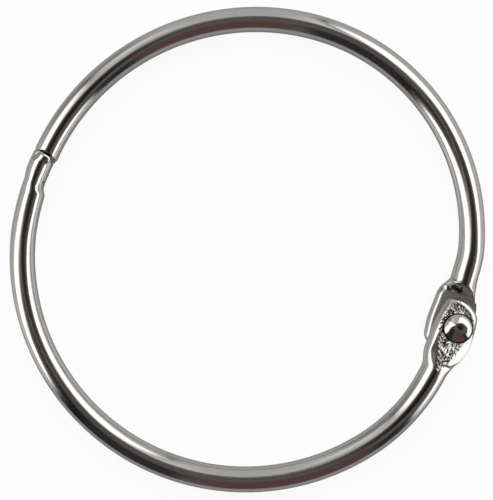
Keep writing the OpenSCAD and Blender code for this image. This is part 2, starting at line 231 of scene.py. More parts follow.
def forged_path(bend, end, sides):
    """Stations of a forged end from its tip to the plain wire.

    They are close together round the tip, where they follow the sine of an angle, and over the
    shoulder's ramp. The tip is trimmed to an arc: each edge is kept inside a circle about a
    centre that is set in from the pin."""
    tip = -TIP_R * np.sin(np.linspace(math.pi / 2, math.asin(2.2 / TIP_R), 26))
    y = np.concatenate([tip, np.arange(-2.15, 5.6, 0.05), np.arange(5.6, 6.6, 0.1),
                        np.arange(6.6, SWELL_FROM - 0.1, 0.3)])
    inner, outer = forged_edge(bend, end, y, -1), forged_edge(bend, end, y, 1)
    reach = np.sqrt(np.maximum(0, TIP_R ** 2 - np.minimum(y, 0) ** 2))
    middle = PIN_X - TIP_SET
    trimmed = y < 0
    inner = np.where(trimmed, soft_max(inner, middle - reach, 0.2), inner)
    outer = np.where(trimmed, soft_min(outer, middle + reach, 0.2), outer)
    step = 0.05
    before, after = (
        (forged_edge(bend, end, y + s, -1) + forged_edge(bend, end, y + s, 1)) / 2
        for s in (-step, step))
    slope = np.where(y > -1, (before - after) / (2 * step), 0)
    out = np.stack([np.ones_like(y), slope], 1) / np.sqrt(1 + slope ** 2)[:, None]
    half = (outer - inner) / 2
    flat = along(y, SHOULDER_Y + RAMP_RUN + 0.15, SHOULDER_Y - 0.15)
    struck_flat = along(y, SPREAD_FROM, SPREAD_TO)[:, None]
    outer_below, inner_below = FLANK_BELOW
    above, (outer_wide, inner_wide), comes_down = sides
    flank = lerp(half[:, None], np.array([[*above, inner_below, outer_below]]), struck_flat)
    wide = -np.array([[outer_wide, inner_wide, inner_wide, outer_wide]])
    return {
        "point": np.stack([(inner + outer) / 2, y], 1),
        "out": out,
        "half": half,
        "low": np.full_like(y, -WIRE_R),
        "wide": wide * along(y, *comes_down)[:, None],
        "top": lerp(WIRE_R, LAP_GAP, flat),
        "flank": np.minimum(flank, half[:, None]),
    }


def wire_path(circle, angles, radius=WIRE_R):
    """Stations of round wire along one circle; radius may differ from station to station."""
    point, out = circle_path(circle, angles)
    radius = np.broadcast_to(radius, angles.shape).astype(float)
    return {"point": point, "out": out, "half": radius, "low": -radius,
            "wide": np.zeros((len(radius), 4)), "top": radius,
            "flank": np.repeat(radius[:, None], 4, 1)}


def joined(*paths):
    return {key: np.concatenate([p[key] for p in paths]) for key in paths[0]}


def die_lines(path, angle):
    """Coordinates in metres for a pattern drawn out along the wire, thirty times its width."""
    step = np.linalg.norm(np.diff(path["point"], axis=0), axis=1)
    run = np.concatenate([[0], np.cumsum(step)])[:, None]
    around = WIRE_R * np.stack([np.cos(angle), np.sin(angle)], -1)[None]
    return MM * np.concatenate([np.broadcast_to(around, (len(run), *around.shape[1:])),
                                np.broadcast_to(run[..., None] / 30, (len(run), len(angle), 1))], 2)


def quarter_of(angle):
    """Which quarter of a section an angle is in: outer and inner above, then inner, outer below."""
    return np.floor(angle / (math.pi / 2)).astype(int) % 4


def swept(path, angle):
    """Sections along a path, as an array of stations by points round, by X, Y and Z.

    Each quarter of a section starts at its widest line with a side that is rounded over the
    flank's length, a quarter of an ellipse, and the rest is flat, down to the low line or up to
    the top. The points share the two lengths evenly."""
    quarter = quarter_of(angle)
    t = angle / (math.pi / 2) - np.floor(angle / (math.pi / 2))
    t = np.where(quarter % 2 == 1, 1 - t, t)[None, :]
    side = np.where((quarter == 0) | (quarter == 3), 1, -1)[None, :]
    flank, wide = path["flank"][:, quarter], path["wide"][:, quarter]
    half = path["half"][:, None]
    share = np.maximum(1.5 * flank / np.maximum(0.5 * flank + half, 1e-6), 1e-6)
    turn = np.minimum(t / share, 1) * math.pi / 2
    beyond = np.clip((t - share) / np.maximum(1 - share, 1e-6), 0, 1)
    across = half - flank * (1 - np.cos(turn)) - beyond * (half - flank)
    far = np.where(quarter[None, :] < 2, path["top"][:, None], path["low"][:, None])
    z = lerp(wide, far, np.sin(turn))
    xy = path["point"][:, None, :] + (side * across)[..., None] * path["out"][:, None, :]
    return np.concatenate([xy, z[..., None]], 2)


# ---------------------------------------------------------------------------------------------
# Struck surfaces of the forged ends
# ---------------------------------------------------------------------------------------------

def ripple(x, y, seed, lengths, heading, spread, count=40):
    """A rough surface of height about 1: the sum of many plane waves.

    Each wave has a length between the two given, in millimetres, a heading that strays from the
    given angle by about the spread, both in radians, and a phase of its own."""
    draw = np.random.default_rng(seed)
    k = TAU / draw.uniform(*lengths, count)
    a = heading + draw.normal(0, spread, count)
    phase = draw.uniform(0, TAU, count)
    total = np.zeros_like(x)
    for wave, turn, start in zip(k, a, phase):
        total += np.cos(wave * (x * math.cos(turn) + y * math.sin(turn)) + start)
    return total * math.sqrt(2 / count)


def plane_height(plane, x, y):
    """Height of a plane that faces down and towards its azimuth, and lies lower at its ends."""
    (px, py, height), azimuth, slope, (*far, sink), near = plane
    turn = math.radians(azimuth)
    off = (x - PIN_X - px) * math.cos(turn) + (y - py) * math.sin(turn)
    return height + slope * off - sink * (1 - along(y, *far)) - along(y, *near)


def lap_height(x, y):
    """Height of the lap face, and of the ramp that climbs from it to the full wire."""
    skew = math.radians(SHOULDER_SKEW)
    u = y * math.cos(skew) - (x - PIN_X) * math.sin(skew)
    climb = soft_max(u - SHOULDER_Y, 0 * u, 0.12) - 0.03 * np.exp(-((u - SHOULDER_Y) / 0.12) ** 2)
    return -LAP_GAP / 2 + np.maximum(climb, 0) * WIRE_R / RAMP_RUN


def inside_by(outline, spot):
    """How far each spot lies inside a closed outline of straight sides, negative outside it.

    That is the distance to the nearest side, and a spot is inside where a ray from it crosses the
    sides an odd number of times."""
    start, end = outline, np.roll(outline, -1, 0)
    side = end - start
    to = spot[:, None, :] - start
    t = np.clip((to * side).sum(2) / (side ** 2).sum(1), 0, 1)
    distance = np.linalg.norm(to - t[..., None] * side, axis=2).min(1)
    x, y = spot[:, None, 0], spot[:, None, 1]
    spans = (start[:, 1] > y) != (end[:, 1] > y)
    rise = np.where(side[:, 1] == 0, 1, side[:, 1])
    crossed = spans & (x < start[:, 0] + (y - start[:, 1]) / rise * side[:, 0])
    return np.where(crossed.sum(1) % 2 == 1, distance, -distance)


def scored(x, y, seed):
    """Short flat strokes that run out from the pin, each at a slant of its own.

    The plane is laid out by the angle about the pin, as a distance on the strokes' circle, and by
    the distance from it. Each spot there lies on the tilted plane of the nearest centre; the
    centres are on a grid of the strokes' size, each moved at random, and the slants, mostly to a
    stroke's side, are drawn at random too, stronger to the sides of the pin and beyond it."""
    draw = np.random.default_rng(seed)
    rx, ry = (x - PIN_X).ravel(), y.ravel()
    spot = np.stack([np.arctan2(rx, ry) * STROKE_R / STROKE_W, np.hypot(rx, ry) / STROKE_L], -1)
    half_round, rows = math.ceil(math.pi * STROKE_R / STROKE_W), int(STROKE_REACH / STROKE_L)
    gu, gv = np.meshgrid(np.arange(-half_round, half_round + 1), np.arange(1, rows + 1),
                         indexing="ij")
    centres = np.stack([gu, gv], -1).reshape(-1, 2) + draw.uniform(-0.45, 0.45, (gu.size, 2))
    beyond = 1 + BEYOND_MORE * (np.abs(centres[:, 0] * STROKE_W / STROKE_R) > BEYOND_FROM)
    slant = (STROKE_SLANT[0] * STROKE_W, STROKE_SLANT[1] * STROKE_L)
    slope = draw.normal(0, 1, centres.shape) * slant * beyond[:, None]
    out = np.zeros(len(spot))
    near = np.hypot(rx, ry) < STROKE_REACH
    to = spot[near][:, None, :] - centres
    pick = (to ** 2).sum(2).argmin(1)
    out[near] = (to[np.arange(len(pick)), pick] * slope[pick]).sum(1)
    return out.reshape(x.shape)


def calm_places(x, y):
    """1 where the strokes are calm, round their spot and along the inner wall, and 0 elsewhere."""
    u, v = (x - PIN_X - CALM_SPOT[0]) / CALM_R, (y - CALM_SPOT[1]) / CALM_R
    off_wall = x - PIN_X - WALL_SPOT[0] - WALL_SLANT * (y - WALL_SPOT[1])
    by_wall = smooth(1.1 - off_wall / WALL_NEAR) * smooth((y - CALM_FROM) / CALM_RUN)
    return np.maximum(np.exp(-(u ** 2 + v ** 2)), by_wall)


def struck(points, upper, seed):
    """Flattens a forged end: the lap face above; the patch, the planes and the tip's edges below.

    The crushed patch lies inside a ragged outline. Its floor is a plane that the metal has been
    pushed down to, with chips and a swell on it, and its wall is as wide as the outline's fade.
    Returns the points, how far each belongs to the crushed patch, and how far to the cut lap and
    its ramp, from 0 to 1."""
    x, y, z = points[..., 0], points[..., 1], points[..., 2]
    near = (y < SWELL_FROM - 1) & (x > 0)
    below = near & ~upper
    spot = np.stack([x - PIN_X, y], -1).reshape(-1, 2)
    ragged = RAGGED * ripple(x, y, seed + 3, (0.3, 0.8), 0, 2)
    depth = inside_by(np.array(PATCH), spot).reshape(x.shape) + ragged
    hammered = smooth(depth / PATCH_FADE + OUTSIDE) * below
    chips = scored(x, y, seed) * (1 - CALMED * calm_places(x, y))
    swell = SWELL * ripple(x, y, seed + 2, (1.0, 2.2), 0.9, 1.2)
    floor = PATCH_FLOOR + PATCH_TILT * (x - PIN_X) + hammered * (chips + swell)
    sunk = lerp(z, np.maximum(z, floor), smooth(depth / PATCH_WALL + OUTSIDE))
    z = np.where(below, sunk, z)
    for plane in PLANES:
        z = np.where(below, soft_max(z, plane_height(plane, x, y), EDGE / 2), z)
    lap = lap_height(x, y)
    lapped = smooth((z - lap) / LAP_FADE + 0.5) * (near & upper)
    lapped = lapped * (LAP_SHARE + (1 - LAP_SHARE) * smooth((lap + LAP_GAP / 2) / 0.2))
    z = np.where(near & upper, soft_min(z, lap, EDGE / 2), z)

    # Round the tip: shift what lies near the trimmed arc inwards, by a quarter circle's sagitta.
    rx, ry = x - (PIN_X - TIP_SET), y
    rho = np.hypot(rx, ry) + 1e-9
    down = np.clip((PATCH_FLOOR + TIP_ROUND - z) / TIP_ROUND, 0, 1)
    up = np.clip((z + LAP_GAP / 2 + EDGE) / EDGE, 0, 1)
    pull = TIP_ROUND * (1 - np.sqrt(1 - down ** 2)) + EDGE * (1 - np.sqrt(1 - up ** 2))
    pull = pull * smooth(rho - TIP_R + 1) * smooth((TIP_FROM - y) / TIP_RUN)
    return np.stack([x - rx / rho * pull, y - ry / rho * pull, z], 2), hammered, lapped


# ---------------------------------------------------------------------------------------------
# Meshes
# ---------------------------------------------------------------------------------------------

def tube_faces(stations, around):
    """Quads between neighbouring stations, closed round the section, and a cap on each end."""
    i, k = np.meshgrid(np.arange(stations - 1), np.arange(around), indexing="ij")
    a = i * around + k
    b = i * around + (k + 1) % around
    quads = np.stack([a, a + around, b + around, b], 2).reshape(-1, 4)
    first = np.arange(around)
    last = (stations - 1) * around + np.arange(around)
    return quads.tolist() + [first.tolist(), last[::-1].tolist()]


def placed(name, data):
    """A new object with this data, in the scene."""
    made = bpy.data.objects.new(name, data)
    bpy.context.scene.collection.objects.link(made)
    return made


def make_piece(name, points, faces, values=None):
    """Makes a mesh object in metres from points in millimetres, with an optional named value."""
    mesh = bpy.data.meshes.new(name)
    mesh.from_pydata((points.reshape(-1, 3) * MM).tolist(), [], faces)
    for key, value in (values or {}).items():
        kind, part = ("FLOAT_VECTOR", "vector") if value.ndim == 3 else ("FLOAT", "value")
        mesh.attributes.new(key, kind, "POINT").data.foreach_set(
            part, value.ravel().astype(np.float32))
    made = placed(name, mesh)
    work = bmesh.new()
    work.from_mesh(mesh)
    bmesh.ops.remove_doubles(work, verts=work.verts, dist=1e-6)
    bmesh.ops.recalc_face_normals(work, faces=work.faces)
    work.to_mesh(mesh)
    work.free()
    mesh.shade_smooth()
    return made


def lathe(name, profile, around=96):
    """Turns a profile, given as radius and height from the axis out and back, about the pin."""
    a = np.arange(around) * TAU / around
    r, z = np.array(profile).T
    points = np.stack([PIN_X + r[:, None] * np.cos(a), r[:, None] * np.sin(a),
                       np.broadcast_to(MID_Z + z[:, None], (len(r), around))], 2)
    return make_piece(name, points, tube_faces(len(r), around))


def arc(cx, cy, r, start, end, count):
    """Points on an arc, angles in degrees, as rows of two."""
    a = np.radians(np.linspace(start, end, count))
    return np.stack([cx + r * np.cos(a), cy + r * np.sin(a)], 1)


def cut(piece, *cutters):
    """Takes the cutters' shapes out of a piece, removes them, and keeps the new corners crisp."""
    for cutter in cutters:
        tool = piece.modifiers.new("cut", "BOOLEAN")
        tool.operation, tool.solver, tool.object = "DIFFERENCE", "MANIFOLD", cutter
        bpy.context.view_layer.update()
        evaluated = piece.evaluated_get(bpy.context.evaluated_depsgraph_get())
        mesh = bpy.data.meshes.new_from_object(evaluated)
        piece.modifiers.clear()
        piece.data = mesh
        bpy.data.objects.remove(cutter)
    piece.data.shade_smooth()
    piece.data.set_sharp_from_angle(angle=math.radians(50))


def hole(name, side, shank, seat):
    """A cutter for a shank's hole and for the spot face of the head or tail on one side."""
    top = 4.0
    return lathe(name, [(0, -side * top), (shank, -side * top), (shank, side * SEAT_H),
                        (seat, side * SEAT_H), (seat, side * top), (0, side * top)])


def turned_over(points):
    """Turns points over about the X axis."""
    return points * np.array([1, -1, -1])


# ---------------------------------------------------------------------------------------------
# The half rings
# ---------------------------------------------------------------------------------------------

def ring_angles(bend, spacing=0.03):
    """Angles along the hinge side's bend, then along the main one up to near the latch."""
    x, cy, r = hinge_circle(bend)
    start, change = math.asin((SWELL_FROM - cy) / r), math.radians(bend[3])
    first = np.linspace(start, change, int((change - start) / spacing) + 2)
    return first, change


def tongue_half():
    """Wire from the lug to a square end at the latch, its rim rounded by a quarter circle."""
    first, change = ring_angles(TONGUE_BEND)
    main = main_circle(TONGUE_BEND)
    end = math.pi - math.asin((TONGUE_TOP - main[1]) / main[2])
    turn = np.linspace(0, math.pi / 2, 7)
    second = np.linspace(change, end - 1.6 / main[2], 56)[1:]
    last = end - (END_ROUND + np.array([1.2, 0.8, 0.5, 0.3, 0.15, 0.05])) / main[2]
    rim = end - END_ROUND / main[2] * (1 - np.sin(turn))
    path = joined(
        forged_path(TONGUE_BEND, LUG, LUG_SIDES),
        wire_path(hinge_circle(TONGUE_BEND), first),
        wire_path(main, np.concatenate([second, last])),
        wire_path(main, rim, WIRE_R - END_ROUND * (1 - np.cos(turn))))
    around = np.arange(AROUND) * TAU / AROUND
    points, hammered, lapped = struck(swept(path, around), quarter_of(around) < 2, 3)
    # The end's corners hang down: the inner one by the spur, the outer one by the heel.
    x, y = points[..., 0] + RING_R, points[..., 1]
    hang = SPUR * smooth((x - SPUR_FROM) / SPUR_RUN) + HEEL * smooth((HEEL_FROM - x) / HEEL_RUN)
    hang = hang * smooth(1 - (y - TONGUE_TOP) / HANG_RUN)
    points[..., 1] = y - np.where(points[..., 0] < 0, hang * (y < TONGUE_TOP + HANG_RUN), 0)
    points[..., 2] += MID_Z
    piece = make_piece("tongue_half_wire", points, tube_faces(*points.shape[:2]),
                       {"hammered": hammered, "lapped": lapped, "drawn": die_lines(path, around)})
    cut(piece, hole("shank_hole", -1, SHANK_R, TAIL_R + SEAT_CLEAR))
    return piece


def socket_angles():
    """Angles round the socket half's section: the slot's lips fall on fixed points."""
    lip = math.asin((SLOT_H + SLOT_EDGE) / (SOCKET_H / 2))
    rest = np.linspace(math.pi + lip, 3 * math.pi - lip, AROUND - 2 * LIP + 1)
    inside = np.linspace(math.pi - lip, math.pi + lip, 2 * LIP + 1)
    return np.concatenate([rest, inside[1:-1] + TAU])


def rounded_off(d, run, depth):
    """How far in a side lies at a distance d from the mouth that its end is rounded over."""
    return depth * (1 - np.sqrt(1 - np.maximum(0, 1 - d / run) ** 2))


def socket_path():
    """Stations of the pressed end, from where the wire steps in to the mouth.

    Returns the path and which of the stations have the slot. The socket swells over its mouth,
    narrows to a waist and passes into the wire; its mouth is rounded off by quarters of
    ellipses, most of all on the inner side."""
    knee_from = WAIST_TO + SOCKET_BLEND + KNEE_RUN
    slot_end = MOUTH_Y - TONGUE_TIP + END_ROOM
    nib = MOUTH_Y - NIB_Y
    before = np.concatenate([np.linspace(knee_from, WAIST_TO + SOCKET_BLEND + 0.5, 12),
                             np.linspace(WAIST_TO + SOCKET_BLEND + 0.3, slot_end, 16)])
    after = np.concatenate([
        np.linspace(slot_end, nib + 0.5, 5), np.linspace(nib + 0.45, nib - 0.45, 25),
        np.linspace(nib - 0.5, CORNER_RUN + 0.05, 10),
        CORNER_RUN * (1 - np.sin(np.linspace(0, math.pi / 2, 22)))])
    d = np.concatenate([before, after])
    has_slot = np.arange(len(d)) >= len(before)
    y = d - MOUTH_Y
    cx, cy, r = main_circle(SOCKET_BEND)
    point = np.stack([cx - np.sqrt(r ** 2 - (y - cy) ** 2), y], 1)
    pressed = along(d, WAIST_TO + SOCKET_BLEND, WAIST_TO)
    full = along(d, WAIST_TO, WAIST_FROM)
    knee = along(d, knee_from, WAIST_TO + SOCKET_BLEND) * (1 - pressed)
    radial = (point - np.array([cx, cy])) / r
    out = lerp(radial, np.array([-1.0, 0.0]), smooth(2 * pressed)[:, None])
    out = out / np.linalg.norm(out, axis=1)[:, None]
    wide = lerp(WIRE_R, lerp(WAIST_W, SOCKET_W, full) / 2, pressed)
    off = pressed * lerp(WAIST_OUT, SOCKET_OUT, full) - knee * KNEE_IN
    outer = wide + off - rounded_off(d, LIP_RUN, LIP_SIDE)
    inner = wide - off - rounded_off(d, CORNER_RUN, CORNER_IN)
    half = (outer + inner) / 2
    high = lerp(WIRE_R, SOCKET_H / 2, along(d, HIGH_FROM, 1)) - rounded_off(d, LIP_RUN, LIP_H)
    return {"point": point + out * ((outer - inner) / 2)[:, None], "out": out, "half": half,
            "low": -high, "wide": np.zeros((len(d), 4)), "top": high,
            "flank": np.repeat(half[:, None], 4, 1)}, has_slot


def slotted(points, path, slotted_rows):
    """Folds the points between the slot's lips inwards, down one wall, over the floor and back.

    The floor is an arc about the pin with the nib's half round standing on it."""
    rows = np.where(slotted_rows)[0]
    y = path["point"][rows, 1]
    half, high = path["half"][rows], path["top"][rows]
    inner = path["point"][rows, 0] + half * np.sqrt(1 - ((SLOT_H + SLOT_EDGE) / high) ** 2)
    floor = PIN_X - np.sqrt(SLOT_FLOOR ** 2 - y ** 2)
    off = y + NIB_Y                      # the nib's place, turned over
    nib = NIB_X + np.sqrt(np.maximum(0, NIB_R ** 2 - off ** 2))
    floor = np.where(np.abs(off) < NIB_R, np.maximum(floor, nib), floor)
    turn = np.linspace(0, math.pi / 2, 5)
    down = np.linspace(0, 1, 9)[1:]
    side = SLOT_EDGE * (1 - np.cos(turn))
    lip_x = inner[:, None] - SLOT_EDGE * np.sin(turn)
    lip_z = SLOT_H + SLOT_EDGE - side
    wall_x = lerp(inner[:, None] - SLOT_EDGE, floor[:, None], down)
    wall_z = np.full(len(down), SLOT_H)
    left = 2 * LIP + 1 - 2 * (len(turn) + len(down))     # points for the floor
    across = np.linspace(SLOT_H, -SLOT_H, left + 2)[1:-1]
    xs = np.concatenate([lip_x, wall_x, np.repeat(floor[:, None], len(across), 1),
                         wall_x[:, ::-1], lip_x[:, ::-1]], 1)
    zs = np.concatenate([lip_z, wall_z, across, -wall_z, -lip_z[::-1]])
    index = (AROUND - 2 * LIP + np.arange(xs.shape[1])) % AROUND
    out = points.copy()
    out[rows[:, None], index[None, :], 0] = xs
    out[rows[:, None], index[None, :], 2] = zs[None, :]
    return out


def socket_half():
    """Wire from the leaf to the pressed socket, whose slot is open inwards and at its mouth."""
    first, change = ring_angles(SOCKET_BEND)
    main = main_circle(SOCKET_BEND)
    socket, has_slot = socket_path()
    end = math.pi - math.asin((socket["point"][0, 1] - main[1]) / main[2])
    second = np.linspace(change, end, 56)[1:-1]
    path = joined(
        forged_path(SOCKET_BEND, LEAF, LEAF_SIDES),
        wire_path(hinge_circle(SOCKET_BEND), first),
        wire_path(main, second),
        socket)
    around = socket_angles()
    points, hammered, lapped = struck(swept(path, around), quarter_of(around) < 2, 11)
    rows = np.concatenate([np.zeros(len(path["half"]) - len(has_slot), bool), has_slot])
    points = turned_over(slotted(points, path, rows))
    points[..., 2] += MID_Z
    piece = make_piece("socket_half_wire", points, tube_faces(*points.shape[:2]),
                       {"hammered": hammered, "lapped": lapped, "drawn": die_lines(path, around)})
    cut(piece, hole("head_hole", 1, SHANK_R + SHANK_CLEAR, HEAD_R + SEAT_CLEAR))
    return piece


def latch_tongue():
    """The tongue: a plate of rounded rectangular section along Y, with its tip chamfered.

    Its outer edge is an arc about the pin, hollowed where the nib snaps in; its inner edge runs
    straight down from a slanting web below the hanging corner of the wire."""
    nose, round_r = TONGUE_T / 3, 0.1
    web = WIRE_R - 0.04 - RING_R
    turn = np.linspace(0, math.pi / 2, 6)
    y = np.concatenate([
        TONGUE_TIP + round_r * (1 - np.cos(turn)), np.linspace(TONGUE_TIP + 0.15, NIB_Y - 0.5, 12),
        np.linspace(NIB_Y - 0.48, NIB_Y + 0.48, 33),
        np.linspace(NIB_Y + 0.55, TONGUE_TOP + 0.1, 40)])
    pinch = np.concatenate([round_r * (1 - np.sin(turn)), np.zeros(len(y) - len(turn))])
    outer = PIN_X - np.sqrt(TONGUE_EDGE ** 2 - y ** 2)
    notch_r = NIB_R + SNAP_ROOM / 2
    notch = NIB_X + np.sqrt(np.maximum(0, notch_r ** 2 - (y - NIB_Y) ** 2))
    outer = np.where(np.abs(y - NIB_Y) < notch_r, soft_max(outer, notch, 0.05), outer)
    outer = soft_max(outer, -RING_R - TONGUE_OUT + nose - (y - TONGUE_TIP), 0.08)
    inner = soft_min(-RING_R + TONGUE_IN + 0 * y, -RING_R + TONGUE_IN - nose / 2 + (y - TONGUE_TIP),
                     0.05)
    foot = TONGUE_TOP - SPUR
    inner = lerp(inner, web, np.clip((y - foot + WEB_LEN) / WEB_LEN, 0, 1))
    half = (inner - outer) / 2 - pinch
    high = TONGUE_T / 2 - pinch
    corner = np.radians(np.concatenate([np.linspace(a, a + 90, 7) for a in (0, 90, 180, 270)]))
    sx = np.repeat([1, -1, -1, 1], 7)
    sz = np.repeat([1, 1, -1, -1], 7)
    x = ((inner + outer) / 2)[:, None] + sx * (half[:, None] - round_r) + round_r * np.cos(corner)
    z = sz * (high[:, None] - round_r) + round_r * np.sin(corner)
    points = np.stack([x, np.broadcast_to(y[:, None], x.shape), z + MID_Z], 2)
    return make_piece("latch_tongue", points, tube_faces(*points.shape[:2]))


def rivet():
    """The rivet, from its tail up the shank to the head, whose crown is a cap of a sphere.

    The cap leans a little, as a head that was set slightly askew: its height falls evenly towards
    the azimuth of the lean, and its edge is rounded by a quarter circle."""
    tail = -SEAT_H - TAIL_H
    rim = arc(TAIL_R - TAIL_RIM, tail + TAIL_RIM, TAIL_RIM, -90, 0, 12)
    dome = HEAD_H - HEAD_RIM - 0.03
    ball = (HEAD_R ** 2 + dome ** 2) / (2 * dome)
    edge = math.degrees(math.acos(HEAD_R / ball))
    soft = 0.08
    corner = arc(HEAD_R - soft, SEAT_H + HEAD_RIM - soft * 0.4, soft, 0, edge, 7)
    cap = arc(0, SEAT_H + HEAD_RIM + dome - ball, ball, edge + 1, 90, 48)
    cap[-1, 0] = 0
    profile = np.concatenate([
        [(0, tail), (0.4, tail), (0.8, tail)], rim,
        [(TAIL_R, -SEAT_H - 0.02), (TAIL_R - 0.02, -SEAT_H), (SHANK_R + 0.02, -SEAT_H),
         (SHANK_R, -SEAT_H + 0.02), (SHANK_R, 0), (SHANK_R, SEAT_H), (HEAD_R - 0.06, SEAT_H),
         (HEAD_R - 0.02, SEAT_H + 0.02), (HEAD_R, SEAT_H + 0.06), (HEAD_R, SEAT_H + 0.15)],
        corner, cap])
    piece = lathe("rivet", profile, 128)
    lean = math.tan(math.radians(HEAD_LEAN[1]))
    towards = math.radians(HEAD_LEAN[0])
    spot = np.empty(len(piece.data.vertices) * 3, np.float32)
    piece.data.vertices.foreach_get("co", spot)
    spot = spot.reshape(-1, 3)
    share = smooth((spot[:, 2] / MM - MID_Z - SEAT_H - 0.1) / 0.3)
    off = (spot[:, 0] - PIN_X * MM) * math.cos(towards) + spot[:, 1] * math.sin(towards)
    spot[:, 2] -= lean * share * off
    piece.data.vertices.foreach_set("co", spot.ravel())
    return piece


# ---------------------------------------------------------------------------------------------
# Materials
# ---------------------------------------------------------------------------------------------

def linear(code):
    """An sRGB hex colour as linear red, green, blue and alpha."""
    srgb = np.array([int(code[i:i + 2], 16) for i in (1, 3, 5)]) / 255
    rgb = np.where(srgb <= 0.04045, srgb / 12.92, ((srgb + 0.055) / 1.055) ** 2.4)
    return (*rgb.tolist(), 1.0)


def add(tree, kind, inputs=(), **settings):
    """Adds one node with its settings; inputs maps a socket to a value or to another's output."""
    made = tree.nodes.new(kind)
    for name, value in settings.items():
        setattr(made, name, value)
    for socket, value in dict(inputs).items():
        if isinstance(value, bpy.types.NodeSocket):
            tree.links.new(value, made.inputs[socket])
        else:
            made.inputs[socket].default_value = value
    return made


def bare_tree(owner):
    """The node tree of a material or a world, emptied."""
    owner.use_nodes = True
    owner.node_tree.nodes.clear()
    return owner.node_tree


def per_metre(size_mm):
    """Scale of a texture on coordinates in metres whose features are this size."""
    return 1000 / size_mm


def bright_nickel(name, colour, has_face):
    """Steel wire, drawn, then barrel-plated with bright nickel: a near mirror, a little grey.

    The plating follows a faint waviness of the steel, a millimetre or two long, which makes the
    edges of reflections wander, and fine die lines along the wire. It has patches that are
    slightly duller, cut faces are duller still, and the crevice round the rivet's head has its
    shade painted into the colour, near black, and is made duller. Where the forging hammer has
    struck the metal it is crushed into ridges a few tenths of a millimetre wide."""
    material = bpy.data.materials.new(name)
    tree = bare_tree(material)
    spot = add(tree, "ShaderNodeTexCoord").outputs["Object"]
    wave = add(tree, "ShaderNodeTexNoise", {"Vector": spot, "Scale": per_metre(1.6), "Detail": 2.0})
    wavy = add(tree, "ShaderNodeBump", {"Strength": 0.5, "Distance": 0.000006,
                                        "Height": wave.outputs["Fac"]})
    normal = wavy.outputs["Normal"]
    patch = add(tree, "ShaderNodeTexNoise", {"Vector": spot, "Scale": per_metre(7), "Detail": 4.0})
    dull = add(tree, "ShaderNodeMapRange", {"Value": patch.outputs["Fac"], "From Min": 0.35,
                                            "From Max": 0.7, "To Min": 0.09, "To Max": 0.14})
    rough = dull.outputs["Result"]

    # The crevice round the rivet's head, painted dark as its shade: what lies between two distances
    # from the pin
    away = add(tree, "ShaderNodeVectorMath", {0: spot, 1: (PIN_X * MM, 0, 0)}, operation="SUBTRACT")
    flat = add(tree, "ShaderNodeVectorMath", {0: away.outputs[0], 1: (1, 1, 0)},
               operation="MULTIPLY")
    distance = add(tree, "ShaderNodeVectorMath", {0: flat.outputs[0]}, operation="LENGTH")
    inner, outer = (
        add(tree, "ShaderNodeMapRange", {
            "Value": distance.outputs["Value"], "From Min": from_mm * MM, "From Max": to_mm * MM,
            "To Min": 0.0, "To Max": 1.0})
        for from_mm, to_mm in CREVICE_SHADE)
    crevice_shade = add(tree, "ShaderNodeMath", {0: inner.outputs[0], 1: outer.outputs[0]},
                  operation="MULTIPLY").outputs[0]
    # Painted shade: the colour goes to near black in the crevice round the rivet's head
    tone = add(tree, "ShaderNodeMix", {"Factor": crevice_shade, "A": linear(colour),
                                       "B": linear("#1E1C1B")}, data_type="RGBA")
    rough = add(tree, "ShaderNodeMath", {0: crevice_shade, 1: 0.3, 2: rough},
                operation="MULTIPLY_ADD").outputs[0]

    if has_face:
        streak = add(tree, "ShaderNodeAttribute", attribute_name="drawn").outputs["Vector"]
        lines = add(tree, "ShaderNodeTexNoise", {"Vector": streak, "Scale": per_metre(0.3),
                                                 "Detail": 2.0})
        drawn = add(tree, "ShaderNodeBump", {"Strength": 0.6, "Distance": 0.000003,
                                             "Height": lines.outputs["Fac"], "Normal": normal})
        normal = drawn.outputs["Normal"]
        cut_face = add(tree, "ShaderNodeAttribute", attribute_name="lapped").outputs["Fac"]
        matt = add(tree, "ShaderNodeMath", {0: cut_face, 1: 0.55, 2: rough},
                   operation="MULTIPLY_ADD")
        rough = matt.outputs["Value"]
        face = add(tree, "ShaderNodeAttribute", attribute_name="hammered").outputs["Fac"]
        ridges = add(tree, "ShaderNodeTexNoise", {"Vector": spot, "Scale": per_metre(0.3),
                                                  "Detail": 2.0, "Roughness": 0.6})
        lift = add(tree, "ShaderNodeMath", {0: ridges.outputs["Fac"], 1: face},
                   operation="MULTIPLY")
        crushed = add(tree, "ShaderNodeBump", {"Strength": 0.7, "Distance": 0.00003,
                                               "Height": lift.outputs["Value"], "Normal": normal})
        normal = crushed.outputs["Normal"]
    shader = add(tree, "ShaderNodeBsdfPrincipled", {
        "Base Color": tone.outputs["Result"], "Metallic": 1.0, "Roughness": rough, "Normal": normal,
        "Specular Tint": (0.6, 0.6, 0.6, 1.0)})
    add(tree, "ShaderNodeOutputMaterial", {"Surface": shader.outputs["BSDF"]})
    return material


# ---------------------------------------------------------------------------------------------
# Studio
# ---------------------------------------------------------------------------------------------

